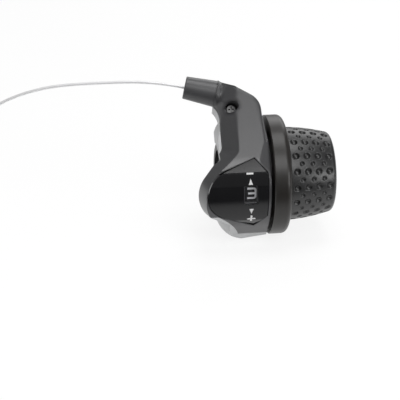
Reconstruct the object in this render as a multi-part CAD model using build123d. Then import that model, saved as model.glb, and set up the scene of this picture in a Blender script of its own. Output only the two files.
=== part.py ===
from build123d import *
import os
from math import acos, asin, atan2, cos, degrees, pi, radians, sin, tan

# Twist grip gear shifter for a handlebar, in millimetres.
# +X runs along the bar towards the grip's outer end, -Y is the way the display faces, +Z is up.
# The origin is on the bar's axis, inside the clamp ring.
# Section angles are counted up from the display's direction, round the bar.

# Handlebar, clamp ring and bearing tube
BAR_D = 22.2
BAR_PLAY = 0.1
TUBE_WALL = 1.45
CLAMP_LEFT = -2.4
FLANGE_LEFT = 3.5
LUG_LEFT = -4.5
CLAMP_WALL = 2.85
CLAMP_SLIT = 2.0
RELIEF_SLIT = 0.8
RELIEF_SPAN = 150.0
CLAMP_ANGLE = 228.0
LUG_REACH = 8.5
LUG_HEIGHT = 4.2
LUG_ROUND = 2.0
FLANGE_THICK = 1.2
FLANGE_GRIP = 0.3
FLANGE_CHAMFER = 1.1

# Clamp bolt and its square nut
BOLT_D = 4.0
BOLT_PLAY = 0.1
BOLT_HEAD_D = 7.0
BOLT_HEAD_H = 4.0
BOLT_KEY = 3.0
BOLT_KEY_DEPTH = 2.2
NUT_WIDTH = 7.0
NUT_THICK = 3.2
BOLT_TAIL = 1.5

# Housing section round the bar
FRONT_FLAT = 1.4
FOOT_RISE = 1.3
RIGHT_TAPER = 1.1
LEFT_DROP = 7.8
MID_DROP = 3.6
LEAN = 40.0
COVER_RIGHT = 16.2
BARREL_LEFT = -3.3
BARREL_MID_X = -1.0
BARREL_FULL_X = 6.0
PARTING_INSET = 0.4
TONGUE_THICK = 1.8
TONGUE_INSET = 1.2
SEAT_PLAY = 0.1
RING_PLAY = 0.25
CUTAWAY_H = 5.0
CUTAWAY_S = 4.0
CUTAWAY_END = 270.0
LEFT_POCKET_LIP = 2.4
LEFT_POCKET_WALL = 4.5
LEFT_POCKET_LOW = -88.0
LEFT_POCKET_HIGH = -48.0
LEFT_WALL = 2.2

# Display pod in front of the bar
POD_CENTRE_X = 0.9
POD_CENTRE_Z = -2.4
POD_R = 13.3
POD_UPPER_SLOPE = 55.0
POD_LOWER_TURN = 38.0
POD_LOWER_SLOPE = 27.0
POD_TOP_X = 4.0
POD_BOTTOM_X = 6.0
POD_DRAFT = 12.0
POD_SKIN = 2.0
POD_FRONT_SKIN = 2.3

# Elbow arm that leads the cable out, in the arm's own plane: X along the bar, S up the arm
ARM_LEFT = -2.0
ARM_RIDGE_X = 3.8
ARM_BACK_H = 6.5
ARM_RIGHT = 15.4
ARM_CORNER_X = 14.5
ARM_CORNER_ROUND = 8.0
ARM_FACE_END_X = 5.4
ARM_FACE_END_HEIGHT = 5.5
ARM_FACE_END_LEAN = 1.0
ARM_INNER_SAG = 0.9
ARM_FACE_ROUND = 0.8
ARM_BACK_INSET = 0.5
ROOT_S = 6.0
NECK_S = 2.3
NECK_SLOPE = 45.0
NECK_ROUND = 4.5
NECK_RISE = 3.9
LOWER_PARTING = [(-5.5, -9.1), (0.8, -14.4), (4.4, -21.7)]
SHOULDER_SHARE = 0.6
SHOULDER_SWELL = 1.8
ELBOW_X = -2.7
ELBOW_S = 31.2
LEFT_TOP_DROP = 13.2
RIDGE_TOP_DROP = 11.2
CORNER_DROP = 6.0
FACE_END_DROP = 0.2
ELBOW_R = 5.8
ELBOW_RISE = 15.2
ELBOW_LENGTH = 6.0
ELBOW_TAPER = 20.0
SIDE_FACET_TOP = (14.8, 8.2)
SIDE_FACET_LOW = (12.1, -0.3)
SIDE_FACET_DEPTH = 1.2
SIDE_FACET_S = -4.0

# Display panel and gear window
LENS_SEAT_WALL = 0.9
LENS_THICK = 1.4
LENS_PROUD = 0.3
LENS_APEX_X = 9.8
LENS_APEX_Z = 14.6
LENS_RIGHT = 14.8
LENS_SHOULDER_Z = 9.4
LENS_END_X = 0.9
LENS_END_Z = 0.4
LENS_END_R = 10.6
LENS_PLAY = 0.35
FACET_TOP = 25.0
FACET_BOTTOM = -28.0
FACET_WEDGE = 15.0
WINDOW_X = 7.8
WINDOW_Z = 0.8
WINDOW_WIDTH = 6.0
WINDOW_HEIGHT = 8.4
WINDOW_ROUND = 0.8
WINDOW_PLAY = 0.05
WINDOW_LEDGE = 0.5

# Twisting parts
BEARING_PLAY = 0.05
AXIAL_PLAY = 0.15
WIRE_D = 1.2
WIRE_SINK = 1.8
WIRE_X = 7.7
DRUM_WALL = 4.35
GROOVE_TOP = 2.8
GROOVE_FLOOR = 1.4
GROOVE_PLAY = 0.05
RIM_LEFT = 10.6
RIM_WIDTH = 3.0
NUMBER_RISE = 4.1
NUMBER_WALL = 1.1
NUMBER_ROOM = 0.5
NUMBER_PLAY = 0.05
NUMBER_LEFT = 5.1
NUMBER_MARGIN = 16.0
CLICK = 30.0
CLICKS = 2
SKIRT_RISE = 1.0
SKIRT_WALL = 1.6
POCKET_LEFT = 12.4
COLLAR_GAP = 1.3
COLLAR_WIDTH = 7.5
COLLAR_ROUND = 2.4
COLLAR_CHAMFER = 0.4
SLEEVE_WALL = 1.95
GRIP_LENGTH = 19.9
GRIP_RISE = 1.6
GRIP_MID_SHARE = 0.4774
GRIP_MID_DROP = 0.85
GRIP_END_DROP = 2.6
GRIP_SHOULDER = 2.1
GRIP_PLAY = 0.05
KEY_COUNT = 4
KEY_WIDTH = 2.4
KEY_HEIGHT = 0.9
WASHER_THICK = 0.5
WASHER_DROP = 0.3
RING_THICK = 1.0
RING_DEPTH = 0.6
RING_HEIGHT = 1.4
RING_GAP = 40.0
TUBE_BEYOND_RING = 0.8

# Dimples of the rubber grip: rows of large ones, with small ones between
DIMPLE_ROWS = 18
DIMPLE_START = 2.75
DIMPLE_STOP = 3.29
DIMPLE_TURN = 3.0
LARGE_DIMPLES = 4
LARGE_DIMPLE_D = 2.8
SMALL_DIMPLE_D = 1.9
DIMPLE_DEPTH = 0.6
DIMPLE_SIDES = 8
DIMPLE_TAPER = 40.0
DIMPLE_CLEAR = 0.4

# Detent spring and end stops
NOTCH_R = 1.6
NOTCH_DEPTH = 0.7
SPRING_RISE = 1.2
SPRING_THICK = 0.35
SPRING_HALF = 7.4
SPRING_HOOK = 1.4
SPRING_WIDTH = 1.2
SPRING_BUMP = 2.2
SPRING_TIP_GAP = 0.45
POST_R = 0.8
POST_Z = 6.2
POST_LENGTH = 1.6
STOP_INSET = 1.0
STOP_HEIGHT = 1.8
STOP_WIDTH = 14.0
STOP_PLAY = 1.2
STOP_ANGLE = -120.0
STOP_GAP = 0.2

# Cable nipple, guide and nose
NIPPLE_D = 3.6
NIPPLE_LENGTH = 4.2
NIPPLE_ANGLE = -72.0
NIPPLE_PLAY = 0.1
BEND_R = 7.0
GUIDE_R = 1.7
GUIDE_BORE = 0.8
GUIDE_PLAY = 0.05
GUIDE_RISE = 1.0
NOSE_R = 5.5
NOSE_MOUTH_R = 4.7
NOSE_LENGTH = 13.0
NOSE_SOCKET_R = 2.6
NOSE_SOCKET_DEPTH = 9.0
NOSE_SPIGOT_R = 3.4
NOSE_SPIGOT = 1.8
NOSE_FLANGE_R = 4.1
NOSE_FLANGE = 1.0
NOSE_PLAY = 0.05
NOSE_ROUND = 0.4

# Inner cable outside the nose: the points it passes, then a tied coil of its spare length
CABLE_STRAIGHT = 12.0
CABLE_ROUTE = [
    (-50.0, 17.0, 37.8), (-74.0, 20.0, 36.0), (-95.0, 22.0, 28.0), (-110.0, 23.0, 13.0),
    (-119.0, 24.0, -5.0), (-128.0, 25.0, -18.5), (-138.5, 25.5, -23.6), (-147.0, 25.5, -24.2)]
COIL_X = -146.0
COIL_Y = 12.1
COIL_R = 10.8
COIL_WIDTH = 6.4
COIL_HEIGHT = 6.2
COIL_BOTTOM = -24.8
TIE_WALL = 0.6
TIE_WIDTH = 4.0
CAP_D = 2.2
CAP_LENGTH = 11.0
CAP_GAP = 7.0

# Cover screw
SCREW_DROP = 8.3
SCREW_SINK = 7.2
SCREW_X = 3.0
SCREW_D = 2.9
SCREW_HEAD_D = 4.6
SCREW_HEAD_H = 1.7
SCREW_LENGTH = 8.0
SCREW_HOLE_D = 5.0
SCREW_PLAY = 0.1
CROSS_WIDTH = 0.7
CROSS_SPAN = 2.6
CROSS_DEPTH = 0.9

# Worked-out sizes, from the bar outwards
BORE_R = BAR_D / 2 + BAR_PLAY / 2
TUBE_R = BORE_R + TUBE_WALL
CLAMP_R = BORE_R + CLAMP_WALL
DRUM_BORE_R = TUBE_R + BEARING_PLAY
SLEEVE_R = DRUM_BORE_R + SLEEVE_WALL
PULLEY_R = DRUM_BORE_R + DRUM_WALL
WIRE_R = PULLEY_R - WIRE_SINK
STOP_R1 = PULLEY_R - STOP_INSET
STOP_R0 = STOP_R1 - STOP_HEIGHT
SPRING_Y = PULLEY_R + SPRING_RISE
SKIRT_R = PULLEY_R + SKIRT_RISE
NUMBER_R = PULLEY_R + NUMBER_RISE
RIM_R = NUMBER_R - NUMBER_WALL - NUMBER_PLAY
CHAMBER_R = NUMBER_R + NUMBER_ROOM
FLANGE_R = CHAMBER_R + FLANGE_GRIP
LENS_SEAT_R = CHAMBER_R + LENS_SEAT_WALL
LENS_R = LENS_SEAT_R + LENS_THICK
FRONT_R = LENS_R - LENS_PROUD
BARREL_R = FRONT_R + FRONT_FLAT
FOOT_R = BARREL_R + FOOT_RISE
FOOT_RIGHT_R = FOOT_R - RIGHT_TAPER
FOOT_LEFT_R = FOOT_R - LEFT_DROP
FOOT_MID_R = FOOT_R - MID_DROP
LEFT_POCKET_R0 = CLAMP_R + LEFT_POCKET_LIP
LEFT_POCKET_R1 = BARREL_R - LEFT_POCKET_WALL
COLLAR_R = BARREL_R
GRIP_BORE_R = SLEEVE_R + GRIP_PLAY
GRIP_R = SKIRT_R + GRIP_RISE
GRIP_MID_R = GRIP_R - GRIP_MID_DROP
GRIP_END_R = GRIP_R - GRIP_END_DROP
RING_R = TUBE_R + RING_HEIGHT
WASHER_R = SLEEVE_R - WASHER_DROP
PARTING_Y = PARTING_INSET - CLAMP_R
PARTING_H = WIRE_R

# Worked-out places, along the bar
FLANGE_RIGHT = FLANGE_LEFT + FLANGE_THICK
DRUM_LEFT = FLANGE_RIGHT + AXIAL_PLAY
RIM_RIGHT = RIM_LEFT + RIM_WIDTH
COLLAR_LEFT = COVER_RIGHT + COLLAR_GAP
COLLAR_RIGHT = COLLAR_LEFT + COLLAR_WIDTH
GRIP_END = COLLAR_RIGHT + GRIP_LENGTH
GRIP_MID_X = COLLAR_RIGHT + GRIP_MID_SHARE * GRIP_LENGTH
DIMPLE_FIRST_X = COLLAR_RIGHT + DIMPLE_START
DIMPLE_PITCH = (GRIP_LENGTH - DIMPLE_START - DIMPLE_STOP) / (LARGE_DIMPLES - 1)
TUBE_RIGHT = GRIP_END - SEAT_PLAY
RING_RIGHT = TUBE_RIGHT - TUBE_BEYOND_RING
RING_LEFT = RING_RIGHT - RING_THICK
WASHER_RIGHT = RING_LEFT - AXIAL_PLAY
DRUM_RIGHT = WASHER_RIGHT - WASHER_THICK

# Worked-out places up the arm, clamp lugs and angles
ARM_LEFT_TOP = ELBOW_S - LEFT_TOP_DROP
ARM_RIDGE_TOP = ELBOW_S - RIDGE_TOP_DROP
ARM_CORNER_S = ELBOW_S - CORNER_DROP
ARM_FACE_END_S = ELBOW_S - FACE_END_DROP
SCREW_S = ELBOW_S - SCREW_DROP
SCREW_SEAT_H = FRONT_R - SCREW_SINK
GUIDE_START = PARTING_H + GUIDE_RISE
BOLT_X = (LUG_LEFT + FLANGE_LEFT - RELIEF_SLIT) / 2
BOLT_Y = CLAMP_R + LUG_REACH / 2
LUG_TOP = CLAMP_SLIT / 2 + LUG_HEIGHT
LEAN_COS = cos(radians(LEAN))
LEAN_SIN = sin(radians(LEAN))
RISE_COS = cos(radians(ELBOW_RISE))
RISE_SIN = sin(radians(ELBOW_RISE))
TRAVEL = CLICK * CLICKS
NOSE_INSIDE = NOSE_SPIGOT + NOSE_FLANGE
FAR = 100.0


def section_point(angle, radius):
    """A point of the YZ section at a section angle."""
    return (-radius * cos(radians(angle)), radius * sin(radians(angle)))


def leaning_plane(angle, height):
    """The plane whose normal is at a section angle, with X along the bar and Y up the slope."""
    across, up = section_point(angle, 1)
    return Plane((0, across * height, up * height), (1, 0, 0), (0, across, up))


def front_plane(y):
    """The plane that faces the display's way, with X along the bar and Y up."""
    return Plane((0, y, 0), (1, 0, 0), (0, -1, 0))


def arm_point(x, s, height=PARTING_H):
    """A point given along the bar, up the arm and out from the bar's axis."""
    return leaning_plane(LEAN, height).from_local_coords(Vector(x, s, 0))


def elbow_plane():
    """The elbow's end, with Z along the cable's way out."""
    start = arm_point(ELBOW_X, ELBOW_S)
    along = arm_point(ELBOW_X - RISE_COS, ELBOW_S + RISE_SIN) - start
    return Plane(start, Vector(0, -LEAN_COS, LEAN_SIN), along)


def along_bar(section, left, right):
    """A piece with the same YZ section from one place along the bar to another."""
    return extrude(Plane.YZ.offset(left) * section, right - left, dir=(1, 0, 0))


def disc(radius, left, right):
    """A round bar on the handlebar's axis."""
    return Pos((left + right) / 2, 0, 0) * Rot(0, 90, 0) * Cylinder(radius, right - left)


def tube(inner, outer, left, right):
    """A pipe on the handlebar's axis."""
    return disc(outer, left, right) - disc(inner, left - 1, right + 1)


def sector(inner, outer, left, right, low, high):
    """A piece of pipe between two section angles."""
    middle = (low + high) / 2
    outside = [section_point(a, outer) for a in (low, middle, high)]
    inside = [section_point(a, inner) for a in (high, middle, low)]
    outline = Wire([
        Edge.make_three_point_arc(*outside),
        Edge.make_line(outside[2], inside[0]),
        Edge.make_three_point_arc(*inside),
        Edge.make_line(inside[2], outside[0]),
    ])
    return along_bar(Face(outline), left, right)


def turned(*points):
    """A piece turned on the bar's axis, from its half section as (along the bar, radius)."""
    return revolve(make_face(Polyline(*points, close=True)), Axis.X)


def box_between(low, high):
    """A box from its lowest to its highest corner."""
    size = [b - a for a, b in zip(low, high)]
    return Pos(*[(a + b) / 2 for a, b in zip(low, high)]) * Box(*size)


def block_above(plane, low, high):
    """The material between two heights over a plane."""
    return plane * Pos(0, 0, (low + high) / 2) * Box(FAR, FAR, high - low)


def housing_section():
    """The housing's section: a round front, a flat above and below it, and a round back."""
    flat_end = LEAN + degrees(acos(FRONT_R / FOOT_R))
    top = section_point(LEAN, FRONT_R)
    bottom = section_point(-LEAN, FRONT_R)
    foot = section_point(-flat_end, FOOT_R)
    back_top = section_point(90, BARREL_R)
    root = (arm_point(0, ROOT_S, FRONT_R).Y, arm_point(0, ROOT_S, FRONT_R).Z)
    return Face(Wire([
        Edge.make_three_point_arc(top, section_point(0, FRONT_R), bottom),
        Edge.make_line(bottom, foot),
        Edge.make_three_point_arc(foot, section_point(180, BARREL_R), back_top),
        Edge.make_line(back_top, root),
        Edge.make_line(root, top),
    ]))


def barrel():
    """The housing round the bar: its left end is rounded in and its right end tapers a little."""
    straight = along_bar(housing_section(), BARREL_LEFT, COVER_RIGHT)
    low_left = (BARREL_LEFT, FOOT_LEFT_R)
    full = (BARREL_FULL_X, FOOT_R)
    right = (COVER_RIGHT, FOOT_RIGHT_R)
    outline = Wire([
        Edge.make_line((BARREL_LEFT, 0), low_left),
        Edge.make_three_point_arc(low_left, (BARREL_MID_X, FOOT_MID_R), full),
        Edge.make_line(full, right),
        Edge.make_line(right, (COVER_RIGHT, 0)),
        Edge.make_line((COVER_RIGHT, 0), (BARREL_LEFT, 0)),
    ])
    return straight & revolve(Face(outline), Axis.X)


def pod_outline(inset):
    """The pod's outline from the front: a round left end between two straight flanks."""
    radius = POD_R - inset
    upper = radians(90 + POD_UPPER_SLOPE)
    lower = radians(180 + POD_LOWER_TURN)
    arc = [
        (POD_CENTRE_X + radius * cos(a), POD_CENTRE_Z + radius * sin(a))
        for a in (upper, (upper + lower) / 2, lower)]
    top = (POD_TOP_X, arc[0][1] + (POD_TOP_X - arc[0][0]) * tan(radians(POD_UPPER_SLOPE)))
    bottom = (POD_BOTTOM_X, arc[2][1] - (POD_BOTTOM_X - arc[2][0]) * tan(radians(POD_LOWER_SLOPE)))
    right = COVER_RIGHT + POD_R
    return Face(Wire([
        Edge.make_line(top, arc[0]),
        Edge.make_three_point_arc(*arc),
        Edge.make_line(arc[2], bottom),
        Edge.make_line(bottom, (right, bottom[1])),
        Edge.make_line((right, bottom[1]), (right, top[1])),
        Edge.make_line((right, top[1]), top),
    ]))


def pod():
    """The display pod: drafted to the front, cut to the housing's section and closed by a plate behind."""
    block = extrude(front_plane(PARTING_Y) * pod_outline(0), FRONT_R + PARTING_Y + 2, taper=POD_DRAFT)
    plate = extrude(front_plane(PARTING_Y + TONGUE_THICK) * pod_outline(TONGUE_INSET), TONGUE_THICK)
    left = POD_CENTRE_X - POD_R - 1
    return (block + plate) & along_bar(housing_section(), left, COVER_RIGHT)


def rounded_corner(before, corner, after, radius):
    """The start, middle and end of the arc that rounds off a corner."""
    corner = Vector(*corner)
    back = (Vector(*before) - corner).normalized()
    ahead = (Vector(*after) - corner).normalized()
    half = radians(back.get_angle(ahead)) / 2
    reach = radius / tan(half)
    middle = (back + ahead).normalized() * (radius / sin(half) - radius)
    return corner + back * reach, corner + middle, corner + ahead * reach


def arm_outline(end_top, end_low, left, left_top):
    """The arm's outline in its own plane, from the bar's axis up to the elbow's end."""
    right = (ARM_RIGHT, 0)
    corner = rounded_corner(right, (ARM_CORNER_X, ARM_CORNER_S), end_top, ARM_CORNER_ROUND)
    chord = Vector(end_low[0] - left, end_low[1] - left_top)
    sag = Vector(chord.Y, -chord.X).normalized() * ARM_INNER_SAG
    inner = ((end_low[0] + left) / 2 + sag.X, (end_low[1] + left_top) / 2 + sag.Y)
    return Face(Wire([
        Edge.make_line(right, corner[0]),
        Edge.make_three_point_arc(*corner),
        Edge.make_line(corner[2], end_top),
        Edge.make_line(end_top, end_low),
        Edge.make_three_point_arc(end_low, inner, (left, left_top)),
        Edge.make_line((left, left_top), (left, 0)),
        Edge.make_line((left, 0), right),
    ]))


def elbow_end(inset):
    """The two ends of the elbow's straight edge, at its outside and its inside."""
    x = ELBOW_X + inset * RISE_COS
    s = ELBOW_S - inset * RISE_SIN
    half = ELBOW_R - inset
    return (x + half * RISE_SIN, s + half * RISE_COS), (x - half * RISE_SIN, s - half * RISE_COS)


def between(low, high):
    """A size at the arm's shoulder, between those at its middle and its face."""
    return low + (high - low) * SHOULDER_SHARE


def shoulder_end(face_top, face_low):
    """The elbow's edge half way up its front, swollen so that the elbow is round."""
    ends = []
    for low, high in zip(elbow_end(0), (face_top, face_low)):
        x = between(low[0], high[0]) - SHOULDER_SWELL * RISE_COS
        s = between(low[1], high[1]) + SHOULDER_SWELL * RISE_SIN
        ends.append((x, s))
    return ends


def arm():
    """The elbow arm: a bevelled front, a drafted back half and a round end for the nose."""
    face_top = (ARM_FACE_END_X, ARM_FACE_END_S)
    face_low = (ARM_FACE_END_X - ARM_FACE_END_LEAN, ARM_FACE_END_S - ARM_FACE_END_HEIGHT)
    face = leaning_plane(LEAN, FRONT_R) * arm_outline(face_top, face_low, ARM_RIDGE_X, ARM_RIDGE_TOP)
    middle = leaning_plane(LEAN, PARTING_H) * arm_outline(*elbow_end(0), ARM_LEFT, ARM_LEFT_TOP)
    shoulder_left = between(ARM_LEFT, ARM_RIDGE_X)
    shoulder_top = between(ARM_LEFT_TOP, ARM_RIDGE_TOP)
    shoulder_outline = arm_outline(*shoulder_end(face_top, face_low), shoulder_left, shoulder_top)
    shoulder = leaning_plane(LEAN, between(PARTING_H, FRONT_R)) * shoulder_outline
    back_left = ARM_LEFT + ARM_BACK_INSET
    back = leaning_plane(LEAN, ARM_BACK_H) * arm_outline(*elbow_end(ARM_BACK_INSET), back_left, ARM_LEFT_TOP)
    outward = Axis((0, 0, 0), (0, -LEAN_COS, LEAN_SIN))
    front_half = loft([middle, shoulder, face], ruled=True)
    rims = front_half.edges().group_by(outward)[-1].sort_by(Axis.Z)[1:]
    front_half = fillet(rims, ARM_FACE_ROUND)
    inner_r = ELBOW_R - ELBOW_LENGTH * tan(radians(ELBOW_TAPER))
    boss = elbow_plane() * Pos(0, 0, -ELBOW_LENGTH / 2) * Cone(inner_r, ELBOW_R, ELBOW_LENGTH)
    return front_half + loft([back, middle], ruled=True) + boss


def arm_bevel():
    """What the arm's left bevel takes off the rounder form below it."""
    ridge = arm_point(ARM_RIDGE_X, 0, FRONT_R)
    down = arm_point(ARM_LEFT, 0, PARTING_H) - ridge
    up = Vector(0, LEAN_SIN, LEAN_COS)
    plane = Plane(ridge, up, up.cross(down))
    width = down.length
    height = FAR - ROOT_S
    return plane * Pos(ROOT_S + height / 2, width / 2, width / 2) * Box(height, width, width)


def neck_cut(depth):
    """What is cut away left of the arm's ridge and above the pod's flank, rounded where the two meet."""
    corner = (ARM_RIDGE_X + depth, NECK_S - depth)
    high = (corner[0], FAR)
    low = (corner[0] - FAR * cos(radians(NECK_SLOPE)), corner[1] - FAR * sin(radians(NECK_SLOPE)))
    arc = rounded_corner(high, corner, low, NECK_ROUND)
    outline = Face(Wire([
        Edge.make_line(high, arc[0]),
        Edge.make_three_point_arc(*arc),
        Edge.make_line(arc[2], low),
        Edge.make_line(low, (low[0], FAR)),
        Edge.make_line((low[0], FAR), high),
    ]))
    inward = arm_point(ARM_LEFT, NECK_RISE, PARTING_H) - arm_point(ARM_RIDGE_X, 0, FRONT_R)
    start = Pos(*(inward * -1)) * (leaning_plane(LEAN, FRONT_R) * outline)
    return extrude(start, 3 * inward.length, dir=inward) & front_region()


def lower_corner(lift):
    """The lower left corner in front of the parting line, which belongs to the rear cover."""
    start, middle, end = [(x, z + lift) for x, z in LOWER_PARTING]
    outline = Face(Wire([
        Edge.make_three_point_arc(start, middle, end),
        Edge.make_line(end, (end[0], -FAR)),
        Edge.make_line((end[0], -FAR), (-FAR, -FAR)),
        Edge.make_line((-FAR, -FAR), (-FAR, start[1])),
        Edge.make_line((-FAR, start[1]), start),
    ]))
    return extrude(front_plane(0) * outline, FAR, dir=(0, -1, 0))


def lens_outline(grow):
    """The display panel from the front: two apexes, a straight right edge and a round left end."""
    centre = Vector(LENS_END_X, LENS_END_Z)
    apex_z = LENS_APEX_Z + grow
    touch = []
    for side in (1, -1):
        apex = Vector(LENS_APEX_X, side * LENS_APEX_Z) - centre
        touch.append(atan2(apex.Y, apex.X) % (2 * pi) + side * acos(LENS_END_R / apex.length))
    angles = (touch[0], sum(touch) / 2, touch[1])
    arc = [centre + Vector(cos(a), sin(a)) * (LENS_END_R + grow) for a in angles]
    corners = [
        arc[2], (LENS_APEX_X, -apex_z), (LENS_RIGHT + grow, -LENS_SHOULDER_Z),
        (LENS_RIGHT + grow, LENS_SHOULDER_Z), (LENS_APEX_X, apex_z), arc[0]]
    sides = [Edge.make_line(a, b) for a, b in zip(corners, corners[1:])]
    return Face(Wire([Edge.make_three_point_arc(*arc), *sides]))


def window_outline(grow):
    """The gear window's rounded rectangle from the front."""
    return Pos(WINDOW_X, WINDOW_Z) * RectangleRounded(
        WINDOW_WIDTH + 2 * grow, WINDOW_HEIGHT + 2 * grow, WINDOW_ROUND + grow)


def curved_panel(outline, inner, outer):
    """A front outline cut from the wall between two radii round the bar."""
    block = extrude(front_plane(0) * outline, FAR)
    return block & tube(inner, outer, -FAR, FAR)


def cable_path(start, end):
    """The cable's line up the arm and round the bend, from a height up the arm to a place past the elbow."""
    corner_s = ELBOW_S - (WIRE_X - ELBOW_X) * RISE_SIN / RISE_COS
    finish = (ELBOW_X - end * RISE_COS, ELBOW_S + end * RISE_SIN)
    flat = FilletPolyline((WIRE_X, start), (WIRE_X, corner_s), finish, radius=BEND_R)
    return leaning_plane(LEAN, PARTING_H) * flat


def swept_rod(path, radius):
    """A round rod along a path."""
    return sweep(Plane(path @ 0, z_dir=path % 0) * Circle(radius), path)


def cover_screw_plane(height):
    """The plane across the cover screw, with Z out of the arm's face."""
    return Plane(arm_point(SCREW_X, SCREW_S, height), (1, 0, 0), (0, -LEAN_COS, LEAN_SIN))


def flange(play):
    """The bracket's flange with its chamfered left rim, or the groove for it with some play all round."""
    left = FLANGE_LEFT - play / 2
    right = FLANGE_RIGHT + play / 2
    radius = FLANGE_R + play
    rim_left = left + FLANGE_CHAMFER
    return turned((left, 0), (left, radius - FLANGE_CHAMFER), (rim_left, radius), (right, radius), (right, 0))


def screw_hole():
    """The cover screw's clearance hole, with the deep recess for its head."""
    shank = cover_screw_plane(SCREW_SEAT_H) * Pos(0, 0, -SCREW_LENGTH / 2 - SCREW_PLAY)
    recess = cover_screw_plane(SCREW_SEAT_H) * Pos(0, 0, FRONT_R / 2)
    return [
        shank * Cylinder(SCREW_D / 2 + SCREW_PLAY, SCREW_LENGTH + 2 * SCREW_PLAY),
        recess * Cylinder(SCREW_HOLE_D / 2, FRONT_R),
    ]


def housing_hollows():
    """Everything that the two covers leave free inside."""
    back = PARTING_Y
    pod_hollow = extrude(front_plane(back) * pod_outline(POD_SKIN), FRONT_R, taper=POD_DRAFT)
    pod_limit = disc(FRONT_R - POD_FRONT_SKIN, POD_CENTRE_X - POD_R, FLANGE_LEFT - LEFT_WALL)
    nose = elbow_plane() * Pos(0, 0, -NOSE_INSIDE / 2)
    flange_room = elbow_plane() * Pos(0, 0, -NOSE_SPIGOT - NOSE_FLANGE / 2)
    return [
        disc(CHAMBER_R, FLANGE_RIGHT, FAR),
        flange(SEAT_PLAY),
        disc(CLAMP_R + RING_PLAY, BARREL_LEFT - RING_PLAY, FLANGE_LEFT),
        sector(
            LEFT_POCKET_R0, LEFT_POCKET_R1, BARREL_LEFT + LEFT_WALL, FLANGE_LEFT,
            LEFT_POCKET_LOW, LEFT_POCKET_HIGH),
        (pod_hollow & pod_limit) - neck_cut(POD_SKIN) - lower_corner(POD_SKIN),
        swept_rod(cable_path(0, 0), GUIDE_R + GUIDE_PLAY),
        nose * Cylinder(NOSE_SPIGOT_R + NOSE_PLAY, NOSE_INSIDE + NOSE_PLAY),
        flange_room * Cylinder(NOSE_FLANGE_R + NOSE_PLAY, NOSE_FLANGE + 2 * NOSE_PLAY),
        *screw_hole(),
    ]


def clamp_cutaway():
    """The open back left corner of the housing, where the clamp's lugs and bolt are."""
    high = arm_point(0, FAR, CUTAWAY_H)
    low = arm_point(0, CUTAWAY_S, CUTAWAY_H)
    end = section_point(CUTAWAY_END, FAR)
    outline = Polyline((high.Y, high.Z), (low.Y, low.Z), end, (FAR, -FAR), (FAR, high.Z), close=True)
    return along_bar(make_face(outline), BARREL_LEFT - 1, FLANGE_LEFT - SEAT_PLAY / 2)


def side_facet():
    """The slanted cut on the right of the front cover, beside the display's upper corner."""
    low = arm_point(*SIDE_FACET_LOW, FRONT_R)
    along = arm_point(*SIDE_FACET_TOP, FRONT_R) - low
    across = arm_point(ARM_RIGHT, SIDE_FACET_S, FRONT_R - SIDE_FACET_DEPTH) - low
    return block_above(Plane(low, along, across.cross(along)), 0, FRONT_R)


def front_region():
    """The space in front of the parting line between the two covers."""
    high = arm_point(0, FAR)
    kink_s = (PARTING_Y + PARTING_H * LEAN_COS) / LEAN_SIN
    kink = arm_point(0, kink_s)
    outline = Polyline(
        (high.Y, high.Z), (kink.Y, kink.Z), (PARTING_Y, -FAR), (-FAR, -FAR), (-FAR, high.Z), close=True)
    return along_bar(make_face(outline), -FAR, FAR)


def make_covers():
    """The dark front cover and the pale rear cover, from one outer form split at the parting line."""
    behind_bevel = arm_bevel() - front_region()
    hollow = (barrel() + pod() - behind_bevel - neck_cut(0) + arm()) - housing_hollows()
    region = front_region() - lower_corner(0)
    front = (hollow & region) - side_facet()
    rear = hollow - region - clamp_cutaway()
    recess = curved_panel(lens_outline(LENS_PLAY), LENS_SEAT_R, FAR)
    opening = extrude(front_plane(0) * window_outline(-WINDOW_LEDGE), FAR)
    return front - recess - opening, rear


def make_display():
    """The black display panel with facets at both apexes, and the clear window let into it."""
    panel = curved_panel(lens_outline(0), LENS_SEAT_R, LENS_R)
    facet_height = LENS_R * cos(radians(FACET_WEDGE))
    for angle in (FACET_TOP + FACET_WEDGE, FACET_BOTTOM - FACET_WEDGE):
        panel -= block_above(leaning_plane(angle, facet_height), 0, LENS_R)
    panel -= extrude(front_plane(0) * window_outline(0), FAR)
    pane = curved_panel(window_outline(-WINDOW_PLAY), LENS_SEAT_R, LENS_R)
    return panel, pane


def clamp_turn():
    """The turn that takes the clamp's lugs from straight back to their place."""
    return Rot(180 - CLAMP_ANGLE, 0, 0)


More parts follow.
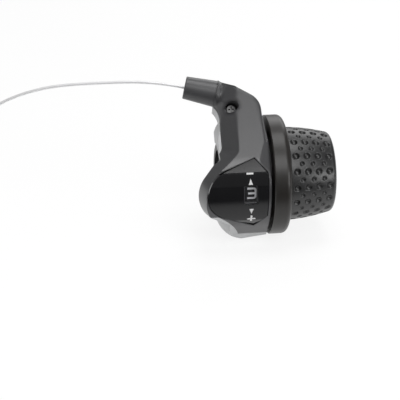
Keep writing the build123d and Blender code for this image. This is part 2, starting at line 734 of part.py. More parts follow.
def make_bracket():
    """The bearing tube, its flange and the split clamp ring with two lugs, in one moulding."""
    lug_right = FLANGE_LEFT - RELIEF_SLIT
    lugs = box_between(
        (LUG_LEFT, BORE_R, -LUG_TOP), (lug_right, CLAMP_R + LUG_REACH, LUG_TOP))
    lugs = fillet(lugs.edges().filter_by(Axis.X).group_by(Axis.Y)[-1], LUG_ROUND)
    clamp = disc(CLAMP_R, CLAMP_LEFT, FLANGE_LEFT) + lugs
    clamp -= box_between((LUG_LEFT - 1, 0, -CLAMP_SLIT / 2), (lug_right, FAR, CLAMP_SLIT / 2))
    half = RELIEF_SPAN / 2
    clamp -= sector(BORE_R - 1, CLAMP_R + LUG_REACH + 1, lug_right, FLANGE_LEFT, 180 - half, 180 + half)
    clamp -= Pos(BOLT_X, BOLT_Y, 0) * Cylinder(BOLT_D / 2 + BOLT_PLAY, 4 * LUG_TOP)
    body = clamp_turn() * clamp
    body += flange(0)
    body += disc(TUBE_R, FLANGE_RIGHT, TUBE_RIGHT)
    for side in (1, -1):
        post_y = SPRING_Y + SPRING_THICK / 2 + POST_R
        post = Pos(FLANGE_RIGHT + POST_LENGTH / 2, post_y, side * POST_Z)
        body += post * Rot(0, 90, 0) * Cylinder(POST_R, POST_LENGTH)
    body -= disc(BORE_R, LUG_LEFT - 1, TUBE_RIGHT + 1)
    low = STOP_ANGLE - STOP_WIDTH / 2 - STOP_PLAY
    high = STOP_ANGLE + TRAVEL + STOP_WIDTH / 2 + STOP_PLAY
    body -= sector(STOP_R0 - STOP_GAP, STOP_R1 + STOP_GAP, FLANGE_LEFT - 1, FLANGE_RIGHT + 1, low, high)
    body -= tube(TUBE_R - RING_DEPTH, TUBE_R + 1, RING_LEFT - SEAT_PLAY / 2, RING_RIGHT + SEAT_PLAY / 2)
    return body


def make_clamp_bolt():
    """The socket head bolt that draws the two lugs together."""
    shank_length = 2 * LUG_TOP + NUT_THICK + BOLT_TAIL
    shank = Pos(0, 0, -LUG_TOP + shank_length / 2) * Cylinder(BOLT_D / 2, shank_length)
    head = Pos(0, 0, -LUG_TOP - BOLT_HEAD_H / 2) * Cylinder(BOLT_HEAD_D / 2, BOLT_HEAD_H)
    key = Plane.XY.offset(-LUG_TOP - BOLT_HEAD_H) * RegularPolygon(BOLT_KEY / 2, 6, major_radius=False)
    return clamp_turn() * Pos(BOLT_X, BOLT_Y, 0) * (shank + head - extrude(key, BOLT_KEY_DEPTH))


def make_clamp_nut():
    """The square nut on the other lug."""
    block = Pos(0, 0, LUG_TOP + NUT_THICK / 2) * Box(NUT_WIDTH, NUT_WIDTH, NUT_THICK)
    return clamp_turn() * Pos(BOLT_X, BOLT_Y, 0) * (block - Cylinder(BOLT_D / 2 + BOLT_PLAY, FAR))


def nipple_plane():
    """The cable's end on the drum, with Z along the nipple."""
    start = section_point(NIPPLE_ANGLE, WIRE_R)
    along = section_point(NIPPLE_ANGLE - 90, 1)
    return Plane((WIRE_X, *start), (1, 0, 0), (0, *along))


def make_drum():
    """The cable drum and grip tube: a grooved pulley, the number ring's rim and the collar's seat."""
    floor_r = WIRE_R - WIRE_D / 2 - GROOVE_PLAY
    drum = turned(
        (DRUM_LEFT, DRUM_BORE_R), (DRUM_LEFT, PULLEY_R),
        (WIRE_X - GROOVE_TOP / 2, PULLEY_R), (WIRE_X - GROOVE_FLOOR / 2, floor_r),
        (WIRE_X + GROOVE_FLOOR / 2, floor_r), (WIRE_X + GROOVE_TOP / 2, PULLEY_R),
        (RIM_LEFT, PULLEY_R), (RIM_LEFT, RIM_R), (RIM_RIGHT, RIM_R), (RIM_RIGHT, SKIRT_R),
        (COLLAR_RIGHT, SKIRT_R), (COLLAR_RIGHT, SKIRT_R - SKIRT_WALL),
        (POCKET_LEFT, SKIRT_R - SKIRT_WALL), (POCKET_LEFT, SLEEVE_R),
        (DRUM_RIGHT, SLEEVE_R), (DRUM_RIGHT, DRUM_BORE_R))
    drum += grip_keys(0, DRUM_RIGHT)
    for click in range(CLICKS + 1):
        across, up = section_point(180 - click * CLICK, PULLEY_R - NOTCH_DEPTH + NOTCH_R)
        notch = Rot(0, 90, 0) * Cylinder(NOTCH_R, 2 * (WIRE_X - GROOVE_TOP / 2 - DRUM_LEFT))
        drum -= Pos(DRUM_LEFT, across, up) * notch
    low = STOP_ANGLE - STOP_WIDTH / 2
    high = STOP_ANGLE + STOP_WIDTH / 2
    drum += sector(STOP_R0, STOP_R1, FLANGE_LEFT + STOP_GAP, DRUM_LEFT + STOP_GAP, low, high)
    room_r = NIPPLE_D / 2 + NIPPLE_PLAY
    room_length = NIPPLE_LENGTH + 2 * NIPPLE_PLAY
    room = Pos(0, 0, room_length / 2 - NIPPLE_PLAY)
    drum -= nipple_plane() * room * Cylinder(room_r, room_length)
    drum -= nipple_plane() * room * Pos(0, WIRE_R / 2, 0) * Box(2 * room_r, WIRE_R, room_length)
    return drum


def grip_keys(play, right):
    """The ribs along the grip tube that the rubber is keyed on."""
    keys = []
    for index in range(KEY_COUNT):
        angle = 360 * (index + 0.5) / KEY_COUNT
        half = degrees(asin((KEY_WIDTH / 2 + play) / SLEEVE_R))
        inner = SLEEVE_R - SLEEVE_WALL / 2
        outer = SLEEVE_R + KEY_HEIGHT + play
        keys.append(sector(inner, outer, COLLAR_RIGHT, right, angle - half, angle + half))
    return keys


def make_number_ring():
    """The ring on the drum's rim, with the flap that carries the gear numbers under the window."""
    inner = NUMBER_R - NUMBER_WALL
    ring = tube(inner, NUMBER_R, RIM_LEFT, RIM_RIGHT)
    flap_right = RIM_LEFT + RIM_WIDTH / 2
    return ring + sector(inner, NUMBER_R, NUMBER_LEFT, flap_right, -TRAVEL - NUMBER_MARGIN, NUMBER_MARGIN)


def make_collar():
    """The smooth ring between the housing and the grip."""
    inner = SKIRT_R + GRIP_PLAY
    knee = COLLAR_ROUND * (1 - sin(radians(45)))
    outline = Wire([
        Edge.make_line((COLLAR_LEFT, inner), (COLLAR_LEFT, COLLAR_R - COLLAR_CHAMFER)),
        Edge.make_line((COLLAR_LEFT, COLLAR_R - COLLAR_CHAMFER), (COLLAR_LEFT + COLLAR_CHAMFER, COLLAR_R)),
        Edge.make_line((COLLAR_LEFT + COLLAR_CHAMFER, COLLAR_R), (COLLAR_RIGHT - COLLAR_ROUND, COLLAR_R)),
        Edge.make_three_point_arc(
            (COLLAR_RIGHT - COLLAR_ROUND, COLLAR_R), (COLLAR_RIGHT - knee, COLLAR_R - knee),
            (COLLAR_RIGHT, COLLAR_R - COLLAR_ROUND)),
        Edge.make_line((COLLAR_RIGHT, COLLAR_R - COLLAR_ROUND), (COLLAR_RIGHT, inner)),
        Edge.make_line((COLLAR_RIGHT, inner), (COLLAR_LEFT, inner)),
    ])
    return revolve(Face(outline), Axis.X)


def grip_crown():
    """The grip's gently bellied outside line, from the collar to its shoulder."""
    return Edge.make_three_point_arc(
        (COLLAR_RIGHT, GRIP_R), (GRIP_MID_X, GRIP_MID_R), (GRIP_END - GRIP_SHOULDER, GRIP_END_R))


def dimple_places():
    """Each dimple's place along the bar, its angle and its diameter."""
    step = 360 / DIMPLE_ROWS
    places = []
    for row in range(DIMPLE_ROWS):
        for index in range(LARGE_DIMPLES):
            places.append((DIMPLE_FIRST_X + index * DIMPLE_PITCH, DIMPLE_TURN + row * step, LARGE_DIMPLE_D))
        for index in range(LARGE_DIMPLES - 1):
            x = DIMPLE_FIRST_X + (index + 0.5) * DIMPLE_PITCH
            places.append((x, DIMPLE_TURN + (row + 0.5) * step, SMALL_DIMPLE_D))
    return places


def crown_radius(x):
    """The grip's outside radius at a place along the bar."""
    crown = grip_crown()
    share = (x - COLLAR_RIGHT) / (GRIP_END - GRIP_SHOULDER - COLLAR_RIGHT)
    return (crown @ share).Y


def dimple_cutter(diameter):
    """A tapered stud that presses one dimple, with its small end down."""
    spread = DIMPLE_CLEAR * tan(radians(DIMPLE_TAPER))
    mouth = Plane.XY.offset(DIMPLE_CLEAR) * RegularPolygon(diameter / 2 + spread, DIMPLE_SIDES)
    return extrude(mouth, -DIMPLE_DEPTH - DIMPLE_CLEAR, taper=DIMPLE_TAPER)


def make_grip():
    """The rubber grip: a bellied sleeve with a rounded outer end, keyed to the tube and dimpled."""
    crown = grip_crown()
    shoulder = (GRIP_END - GRIP_SHOULDER, GRIP_END_R)
    end = (GRIP_END, GRIP_END_R - GRIP_SHOULDER)
    knee = GRIP_SHOULDER * (1 - sin(radians(45)))
    sleeve = revolve(Face(Wire([
        Edge.make_line((COLLAR_RIGHT, GRIP_BORE_R), (COLLAR_RIGHT, GRIP_R)),
        crown,
        Edge.make_three_point_arc(shoulder, (GRIP_END - knee, GRIP_END_R - knee), end),
        Edge.make_line(end, (GRIP_END, GRIP_BORE_R)),
        Edge.make_line((GRIP_END, GRIP_BORE_R), (COLLAR_RIGHT, GRIP_BORE_R)),
    ])), Axis.X)
    sleeve -= grip_keys(GRIP_PLAY, DRUM_RIGHT + GRIP_PLAY)
    cutters = {d: dimple_cutter(d) for d in (LARGE_DIMPLE_D, SMALL_DIMPLE_D)}
    studs = []
    for x, angle, diameter in dimple_places():
        studs.append(Rot(90 - angle, 0, 0) * Pos(x, 0, crown_radius(x)) * cutters[diameter])
    return sleeve - studs


def make_retaining_ring():
    """The open ring that keeps the drum on the bearing tube."""
    inner = TUBE_R - RING_DEPTH + SEAT_PLAY / 2
    return sector(inner, RING_R, RING_LEFT, RING_RIGHT, RING_GAP / 2 - 90, 270 - RING_GAP / 2)


def make_thrust_washer():
    """The plain washer between the drum and the retaining ring."""
    return tube(DRUM_BORE_R, WASHER_R, DRUM_RIGHT, WASHER_RIGHT)


def make_detent_spring():
    """The leaf spring whose bump drops into the drum's notches, bent round two posts."""
    tip = PULLEY_R - NOTCH_DEPTH + SPRING_TIP_GAP
    line = Polyline(
        (SPRING_Y + SPRING_HOOK, -SPRING_HALF), (SPRING_Y, -SPRING_HALF), (SPRING_Y, -SPRING_BUMP), (tip, 0),
        (SPRING_Y, SPRING_BUMP), (SPRING_Y, SPRING_HALF), (SPRING_Y + SPRING_HOOK, SPRING_HALF))
    return along_bar(trace(line, SPRING_THICK), DRUM_LEFT, DRUM_LEFT + SPRING_WIDTH)


def make_cable_nose():
    """The tapered nose at the elbow's end, with the socket for the casing and a flange held in the covers."""
    bore = GUIDE_BORE
    half = make_face(Polyline(
        (bore, -NOSE_INSIDE), (NOSE_FLANGE_R, -NOSE_INSIDE), (NOSE_FLANGE_R, -NOSE_SPIGOT),
        (NOSE_SPIGOT_R, -NOSE_SPIGOT), (NOSE_SPIGOT_R, 0), (NOSE_R, 0), (NOSE_MOUTH_R, NOSE_LENGTH),
        (NOSE_SOCKET_R, NOSE_LENGTH), (NOSE_SOCKET_R, NOSE_LENGTH - NOSE_SOCKET_DEPTH),
        (bore, NOSE_LENGTH - NOSE_SOCKET_DEPTH), close=True))
    nose = revolve(Plane.XZ * half, Axis.Z)
    rims = nose.edges().filter_by(GeomType.CIRCLE).group_by(Axis.Z)[-1]
    return elbow_plane() * fillet(rims, NOSE_ROUND)


def make_cable_guide():
    """The bent liner that leads the cable round the elbow."""
    path = cable_path(GUIDE_START, -NOSE_INSIDE - NOSE_PLAY)
    return swept_rod(path, GUIDE_R) - swept_rod(path, GUIDE_BORE)


def make_cable():
    """The inner cable, from the nipple round the drum and up the arm to the nose's mouth."""
    start = Vector(WIRE_X, *section_point(NIPPLE_ANGLE, WIRE_R))
    middle = Vector(WIRE_X, *section_point((NIPPLE_ANGLE + LEAN) / 2, WIRE_R))
    leave = Vector(WIRE_X, *section_point(LEAN, WIRE_R))
    arc = Edge.make_three_point_arc(start, middle, leave)
    return swept_rod(Wire([arc, *cable_path(0, NOSE_LENGTH).edges()]), WIRE_D / 2)


def make_nipple():
    """The cable's end stop, in its pocket on the drum."""
    return nipple_plane() * Pos(0, 0, NIPPLE_LENGTH / 2) * Cylinder(NIPPLE_D / 2, NIPPLE_LENGTH)


def cable_tail_points():
    """The free cable's points, from straight out of the nose's mouth to its coil."""
    mouth = elbow_plane().from_local_coords(Vector(0, 0, NOSE_LENGTH))
    straight = elbow_plane().from_local_coords(Vector(0, 0, NOSE_LENGTH + CABLE_STRAIGHT))
    return [mouth, straight, *[Vector(*point) for point in CABLE_ROUTE]]


def make_cable_tail():
    """The free cable up to its coil, with each bend as wide as its two runs allow."""
    points = cable_tail_points()
    radii = []
    for before, here, after in zip(points, points[1:], points[2:]):
        turn = radians((here - before).get_angle(after - here))
        shorter = min((here - before).length, (after - here).length)
        radii.append(0.45 * shorter / tan(turn / 2))
    print("cable bend radii, mm:", [round(radius, 1) for radius in radii])
    return swept_rod(FilletPolyline(*points, radius=radii), WIRE_D / 2)


def make_coil():
    """The outer form of the coiled spare cable."""
    ring = Cylinder(COIL_R + COIL_WIDTH / 2, COIL_HEIGHT) - Cylinder(COIL_R - COIL_WIDTH / 2, COIL_HEIGHT)
    return Pos(COIL_X, COIL_Y, COIL_BOTTOM + COIL_HEIGHT / 2) * ring


def make_coil_tie():
    """The flat tie round the coil's turns."""
    place = Pos(COIL_X - COIL_R, COIL_Y, COIL_BOTTOM + COIL_HEIGHT / 2)
    outside = Box(COIL_WIDTH + 2 * TIE_WALL, TIE_WIDTH, COIL_HEIGHT + 2 * TIE_WALL)
    return place * outside - make_coil()


def make_cable_end():
    """The crimped cap on the cable's far end, beside the coil's last turn."""
    reach = COIL_R + COIL_WIDTH / 2 - WIRE_D / 2
    top = COIL_BOTTOM + COIL_HEIGHT - WIRE_D / 2
    place = Pos(COIL_X + CAP_GAP + CAP_LENGTH / 2, COIL_Y - reach, top)
    return place * Rot(0, 90, 0) * Cylinder(CAP_D / 2, CAP_LENGTH)


def make_cover_screw():
    """The cross-head screw that holds the two covers together at the elbow."""
    head = Pos(0, 0, SCREW_HEAD_H / 2) * Cylinder(SCREW_HEAD_D / 2, SCREW_HEAD_H)
    head = fillet(head.edges().group_by(Axis.Z)[-1], SCREW_HEAD_H / 3)
    shank = Pos(0, 0, -SCREW_LENGTH / 2) * Cylinder(SCREW_D / 2, SCREW_LENGTH)
    cross = Pos(0, 0, SCREW_HEAD_H) * Box(CROSS_SPAN, CROSS_WIDTH, 2 * CROSS_DEPTH)
    cross += Pos(0, 0, SCREW_HEAD_H) * Box(CROSS_WIDTH, CROSS_SPAN, 2 * CROSS_DEPTH)
    return cover_screw_plane(SCREW_SEAT_H) * (head + shank - cross)


os.makedirs("parts", exist_ok=True)
front_cover, rear_cover = make_covers()
display_panel, gear_window = make_display()
pieces = {
    "front_cover": front_cover,
    "rear_cover": rear_cover,
    "display_panel": display_panel,
    "gear_window": gear_window,
    "bracket": make_bracket(),
    "clamp_bolt": make_clamp_bolt(),
    "clamp_nut": make_clamp_nut(),
    "twist_drum": make_drum(),
    "number_ring": make_number_ring(),
    "grip_collar": make_collar(),
    "rubber_grip": make_grip(),
    "retaining_ring": make_retaining_ring(),
    "thrust_washer": make_thrust_washer(),
    "detent_spring": make_detent_spring(),
    "cable_nose": make_cable_nose(),
    "cable_guide": make_cable_guide(),
    "cable_inside": make_cable(),
    "cable_nipple": make_nipple(),
    "cover_screw": make_cover_screw(),
    "cable_tail": make_cable_tail(),
    "cable_coil": make_coil(),
    "coil_tie": make_coil_tie(),
    "cable_end": make_cable_end(),
}
for name, piece in pieces.items():
    export_step(piece, f"parts/{name}.step")
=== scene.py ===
import math

import bpy
from mathutils import Matrix, Vector


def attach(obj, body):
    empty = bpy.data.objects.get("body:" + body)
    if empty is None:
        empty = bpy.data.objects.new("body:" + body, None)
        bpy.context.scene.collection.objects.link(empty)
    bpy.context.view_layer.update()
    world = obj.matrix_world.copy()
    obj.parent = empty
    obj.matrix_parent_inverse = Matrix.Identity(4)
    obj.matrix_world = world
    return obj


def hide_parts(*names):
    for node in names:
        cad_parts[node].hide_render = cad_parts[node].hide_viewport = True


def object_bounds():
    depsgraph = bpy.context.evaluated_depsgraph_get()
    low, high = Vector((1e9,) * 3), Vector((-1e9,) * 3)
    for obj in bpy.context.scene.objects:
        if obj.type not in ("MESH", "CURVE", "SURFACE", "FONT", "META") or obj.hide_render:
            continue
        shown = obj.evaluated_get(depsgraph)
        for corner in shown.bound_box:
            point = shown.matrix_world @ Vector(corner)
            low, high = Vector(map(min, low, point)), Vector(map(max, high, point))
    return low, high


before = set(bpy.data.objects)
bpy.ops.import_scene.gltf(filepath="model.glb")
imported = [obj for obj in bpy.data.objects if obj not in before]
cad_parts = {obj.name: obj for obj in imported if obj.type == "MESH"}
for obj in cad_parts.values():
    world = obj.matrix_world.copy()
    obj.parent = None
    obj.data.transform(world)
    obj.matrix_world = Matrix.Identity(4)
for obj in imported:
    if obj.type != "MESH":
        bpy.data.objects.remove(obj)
cad_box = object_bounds()
MM = 0.001

# Camera: where it stands round the part, and the point in the middle of the picture
CAMERA_LEFT_DEG = 7.44
CAMERA_UP_DEG = 22.92
CAMERA_DISTANCE = 650 * MM
CAMERA_NEAR = 10 * MM
CAMERA_AIM = (17.5 * MM, 0, 0)
AIM_LEFT = 27.34 * MM
AIM_DOWN = 10.785 * MM
VIEW_WIDTH = 168.07 * MM
SENSOR = 36.0

# Lamps: name, direction from the object, distance, size and power
LAMP_AIM = (0.015, 0, 0.005)
LAMPS = [
    ("key", (0.12, -0.705, 0.655), 0.75, 0.375, 1.8),
    ("top_light", (0.1, 0.0, 1.0), 0.75, 0.4, 2.0),
    ("left_fill", (-0.85, -0.35, 0.4), 0.8, 0.5, 0.25),
    ("right_fill", (0.65, -0.75, 0.12), 0.8, 0.3, 1.6),
    ("back_light", (0.35, 0.75, 0.55), 0.8, 0.5, 1.5)]

# Surround: its light on the object, and its brightness in the picture
SKY_LIGHT = 0.28
SKY_SHOWN = 1.0

# Floor: pale under the object, darker towards the camera, as the panel mirrors it
FLOOR_HALF = 3.0
FLOOR_DARK = (0.12, 0.12, 0.12)
FLOOR_PALE = (0.86, 0.86, 0.86)
FLOOR_DARK_Y = -70 * MM
FLOOR_PALE_Y = -38 * MM
FLOOR_ROUGH = 0.9
FLOOR_SPECULAR = 0.1
FLOOR_GLOW = 1.06
FLOOR_GLOW_SHARE = 0.8

# Mouldings: the clouds in their colour, their grain, the spread of their roughness, their eased edges
CLOUD_SCALE = 180.0
CLOUD_DETAIL = 4.0
GRAIN_DETAIL = 3.0
GRAIN_STRENGTH = 0.5
SHEEN_SPREAD = 0.06
EDGE_SAMPLES = 6

# Elbow: the heights between which its edges get softer
ELBOW_FROM = 20 * MM
ELBOW_TO = 32 * MM

# Metals: the tone of their drawn lines, and the spread of their roughness
LINE_DARK = 0.85
LINE_SPREAD = 0.08

# Wire: its strands and its sheen
STRAND_SCALE = 600.0
STRAND_DISTORTION = 1.5
STRAND_LOW = (0.84, 0.84, 0.85)
STRAND_HIGH = (0.94, 0.94, 0.95)
STRAND_STRENGTH = 0.3
STRAND_DEPTH = 0.03 * MM
WIRE_METALLIC = 0.3
WIRE_ROUGH = 0.45

# Pane: its tint, and how much it mirrors
HAZE_SCALE = 400.0
PANE_LOW = (0.95, 0.95, 0.96)
PANE_HIGH = (0.98, 0.98, 0.99)
PANE_ROUGH = 0.1
PANE_MIRROR = 0.03
PANE_STEEPNESS = 5.0

# Inner cable: its points outside the nose, then the coil of its spare length
CABLE_D = 1.2 * MM
CABLE_ROUTE_MM = [
    (-15.24, 10.61, 36.28), (-26.83, 12.64, 38.7), (-50.0, 17.0, 37.8), (-74.0, 20.0, 36.0),
    (-95.0, 22.0, 28.0), (-110.0, 23.0, 13.0), (-119.0, 24.0, -5.0), (-128.0, 25.0, -18.5),
    (-138.5, 25.5, -23.6)]
COIL_CENTRE_MM = (-146.0, 12.1)
COIL_OUTER_R_MM = 13.4
COIL_LOW_MM = -24.2
COIL_COLUMNS = 5
COIL_LAYERS = 5
COIL_STEP_MM = 1.24
COIL_POINTS = 16
CABLE_END_MM = (-139.0, -1.3, -19.2)
CABLE_ORDER = 3
CABLE_FACETS = 3
CABLE_STEPS = 6

# Grip: its outside line, its mesh and its dimples, in millimetres and degrees
GRIP_LEFT = 25.0
GRIP_RIGHT = 44.9
GRIP_LEFT_R = 19.6
GRIP_MID = (34.5, 18.75)
GRIP_SHOULDER = 2.1
GRIP_SHOULDER_R = 17.0
GRIP_BORE_R = 14.65
GRIP_STEPS = 84
GRIP_ROWS = 540
ROUNDING_STEPS = 10
CRISP_DEG = 60
DIMPLE_ROWS = 18
DIMPLE_FIRST_X = 27.75
DIMPLE_PITCH = 4.62
DIMPLE_TURN = 3.0
LARGE_DIMPLES = 4
LARGE_DIMPLE_R = 1.45
SMALL_DIMPLE_R = 1.0
DIMPLE_DEPTH = 1.0
DIMPLE_POWER = 0.8

# Marks on the display: places in millimetres along the bar and section degrees, sizes in millimetres
LENS_R = 23.9
FACET_MIDDLES = (40.0, -43.0)
FACET_WEDGE = 15.0
MARK_PROUD = 0.03
MINUS_PLACE = (7.4, 23.7)
MINUS_HALF = 1.4
MINUS_WIDTH = 0.75
UP_ARROW_PLACE = (7.6, 15.7)
DOWN_ARROW_PLACE = (8.1, -15.9)
ARROW_WIDTH = 1.75
ARROW_HEIGHT = 2.5
ARROW_ROWS = 12
PLUS_PLACE = (8.3, -26.0)
PLUS_HALF_ALONG = 1.65
PLUS_HALF_ROUND = 1.9
PLUS_WIDTH = 0.8

# Figures on the number ring: their place, the turn between them, their size and stroke
NUMBER_R = 21.1
FIGURE_PLACE = (8.3, 1.6)
CLICK = 30.0
FIGURE_HEIGHT = 5.0
FIGURE_WIDTH = 4.3
FIGURE_STROKE = 0.85
ONE_FLAG_WIDTH = 0.6
ONE_FLAG_FOOT = 0.7
THREE_BAR_START = 0.8


def section_point(x, angle, radius):
    """A point round the bar's axis, in metres; the angle is counted up from the display's direction."""
    a = math.radians(angle)
    return Vector((x, -radius * math.cos(a), radius * math.sin(a))) * MM


def nodes_of(name):
    """A new material, its node tree and its main shader."""
    material = bpy.data.materials.new(name)
    material.use_nodes = True
    tree = material.node_tree
    return material, tree, tree.nodes["Principled BSDF"]


def add_node(tree, kind, **values):
    """A node with some of its settings or input values."""
    node = tree.nodes.new(kind)
    for key, value in values.items():
        if key in node.inputs:
            node.inputs[key].default_value = value
        else:
            setattr(node, key, value)
    return node


def place_of(tree):
    """Where a point lies on its object."""
    return tree.nodes.new("ShaderNodeTexCoord").outputs["Object"]


def part_of(tree, place, axis):
    """One coordinate of a place."""
    split = tree.nodes.new("ShaderNodeSeparateXYZ")
    tree.links.new(place, split.inputs["Vector"])
    return split.outputs[axis]


def noise(tree, place, scale, detail=2.0):
    """A noise value at a place."""
    node = add_node(tree, "ShaderNodeTexNoise", Scale=scale, Detail=detail)
    tree.links.new(place, node.inputs["Vector"])
    return node.outputs["Fac"]


def between(tree, value, low, high, start=0.0, end=1.0, shape="LINEAR"):
    """A value carried from one range over to another."""
    node = add_node(tree, "ShaderNodeMapRange", interpolation_type=shape)
    for socket, number in (("From Min", start), ("From Max", end), ("To Min", low), ("To Max", high)):
        node.inputs[socket].default_value = number
    tree.links.new(value, node.inputs["Value"])
    return node.outputs["Result"]


def combined(tree, operation, first, second):
    """A value put together with a number or with another value."""
    node = add_node(tree, "ShaderNodeMath", operation=operation)
    tree.links.new(first, node.inputs[0])
    if isinstance(second, float):
        node.inputs[1].default_value = second
    else:
        tree.links.new(second, node.inputs[1])
    return node.outputs["Value"]


def colour_ramp(tree, value, low, high, low_at=0.3, high_at=0.7):
    """A blend between two colours."""
    ramp = tree.nodes.new("ShaderNodeValToRGB")
    ramp.color_ramp.elements[0].position = low_at
    ramp.color_ramp.elements[0].color = (*low, 1)
    ramp.color_ramp.elements[1].position = high_at
    ramp.color_ramp.elements[1].color = (*high, 1)
    tree.links.new(value, ramp.inputs["Fac"])
    return ramp.outputs["Color"]


def show_mix(tree, share, first, second):
    """Two shaders, mixed by a share, as the material's surface."""
    mix = tree.nodes.new("ShaderNodeMixShader")
    tree.links.new(share, mix.inputs["Fac"])
    tree.links.new(first, mix.inputs[1])
    tree.links.new(second, mix.inputs[2])
    tree.links.new(mix.outputs["Shader"], tree.nodes["Material Output"].inputs["Surface"])


def moulded(
        name, colour, spread, rough, grain_mm, grain_depth, specular=0.5, edge_mm=0.0, elbow_edge_mm=0.0):
    """A cloudy, finely grained plastic or rubber; its edges can be eased, and eased more at the elbow."""
    material, tree, shader = nodes_of(name)
    place = place_of(tree)
    low = [c * (1 - spread) for c in colour]
    high = [c * (1 + spread) for c in colour]
    clouds = noise(tree, place, CLOUD_SCALE, CLOUD_DETAIL)
    tree.links.new(colour_ramp(tree, clouds, low, high), shader.inputs["Base Color"])
    grain = noise(tree, place, 1 / (grain_mm * MM), GRAIN_DETAIL)
    sheen = between(tree, grain, rough - SHEEN_SPREAD, rough + SHEEN_SPREAD)
    tree.links.new(sheen, shader.inputs["Roughness"])
    bump = add_node(tree, "ShaderNodeBump", Strength=GRAIN_STRENGTH, Distance=grain_depth * MM)
    tree.links.new(grain, bump.inputs["Height"])
    tree.links.new(bump.outputs["Normal"], shader.inputs["Normal"])
    shader.inputs["Specular IOR Level"].default_value = specular
    if edge_mm:
        eased = add_node(tree, "ShaderNodeBevel", samples=EDGE_SAMPLES, Radius=edge_mm * MM)
        tree.links.new(eased.outputs["Normal"], bump.inputs["Normal"])
        if elbow_edge_mm:
            height = part_of(tree, place, "Z")
            low, high = edge_mm * MM, elbow_edge_mm * MM
            softer = between(tree, height, low, high, ELBOW_FROM, ELBOW_TO, "SMOOTHSTEP")
            tree.links.new(softer, eased.inputs["Radius"])
    return material


def metal(name, colour, rough, line_mm):
    """A bright metal with fine drawn lines."""
    material, tree, shader = nodes_of(name)
    lines = noise(tree, place_of(tree), 1 / (line_mm * MM))
    low = [c * LINE_DARK for c in colour]
    tree.links.new(colour_ramp(tree, lines, low, colour), shader.inputs["Base Color"])
    spread = between(tree, lines, rough - LINE_SPREAD, rough + LINE_SPREAD)
    tree.links.new(spread, shader.inputs["Roughness"])
    shader.inputs["Metallic"].default_value = 1.0
    return material


def stranded_wire():
    """Twisted bright wire: darker lines wound round the cable."""
    material, tree, shader = nodes_of("stranded_wire")
    strands = add_node(tree, "ShaderNodeTexWave", Scale=STRAND_SCALE, Distortion=STRAND_DISTORTION)
    strands.bands_direction = "DIAGONAL"
    tree.links.new(place_of(tree), strands.inputs["Vector"])
    colour = colour_ramp(tree, strands.outputs["Fac"], STRAND_LOW, STRAND_HIGH)
    tree.links.new(colour, shader.inputs["Base Color"])
    bump = add_node(tree, "ShaderNodeBump", Strength=STRAND_STRENGTH, Distance=STRAND_DEPTH)
    tree.links.new(strands.outputs["Fac"], bump.inputs["Height"])
    tree.links.new(bump.outputs["Normal"], shader.inputs["Normal"])
    shader.inputs["Metallic"].default_value = WIRE_METALLIC
    shader.inputs["Roughness"].default_value = WIRE_ROUGH
    return material


def clear_pane():
    """The thin clear window, a little smoky, that mirrors as the panel round it does."""
    material, tree, shader = nodes_of("clear_pane")
    tree.nodes.remove(shader)
    haze = noise(tree, place_of(tree), HAZE_SCALE)
    clear = tree.nodes.new("ShaderNodeBsdfTransparent")
    tree.links.new(colour_ramp(tree, haze, PANE_LOW, PANE_HIGH), clear.inputs["Color"])
    mirror = add_node(tree, "ShaderNodeBsdfGlossy", Roughness=PANE_ROUGH)
    edge_on = tree.nodes.new("ShaderNodeLayerWeight").outputs["Facing"]
    steep = combined(tree, "POWER", edge_on, PANE_STEEPNESS)
    show_mix(tree, between(tree, steep, PANE_MIRROR, 1.0), clear.outputs["BSDF"], mirror.outputs["BSDF"])
    return material


def paint(material, *names):
    """Gives some CAD nodes a material."""
    for name in names:
        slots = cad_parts[name].data.materials
        slots.clear()
        slots.append(material)


def mesh_piece(name, points, faces, material, body, smooth=True):
    """A new piece from points and faces, riding on a body."""
    mesh = bpy.data.meshes.new(name)
    mesh.from_pydata(points, [], faces)
    mesh.validate()
    for polygon in mesh.polygons:
        polygon.use_smooth = smooth
    mesh.materials.append(material)
    piece = bpy.data.objects.new(name, mesh)
    bpy.context.collection.objects.link(piece)
    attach(piece, body)
    return piece


def add_camera():
    """The camera at the photograph's viewing angle."""
    left = math.radians(CAMERA_LEFT_DEG)
    up = math.radians(CAMERA_UP_DEG)
    back = Vector((-math.sin(left) * math.cos(up), -math.cos(left) * math.cos(up), math.sin(up)))
    right = Vector((math.cos(left), -math.sin(left), 0))
    above = back.cross(right)
    aim = Vector(CAMERA_AIM) - right * AIM_LEFT - above * AIM_DOWN
    camera = bpy.data.objects.new("camera", bpy.data.cameras.new("camera"))
    camera.data.sensor_width = SENSOR
    camera.data.lens = SENSOR * CAMERA_DISTANCE / VIEW_WIDTH
    camera.data.clip_start = CAMERA_NEAR
    turn = Matrix((right, above, back)).transposed().to_4x4()
    camera.matrix_world = Matrix.Translation(aim + back * CAMERA_DISTANCE) @ turn
    bpy.context.collection.objects.link(camera)
    bpy.context.scene.camera = camera


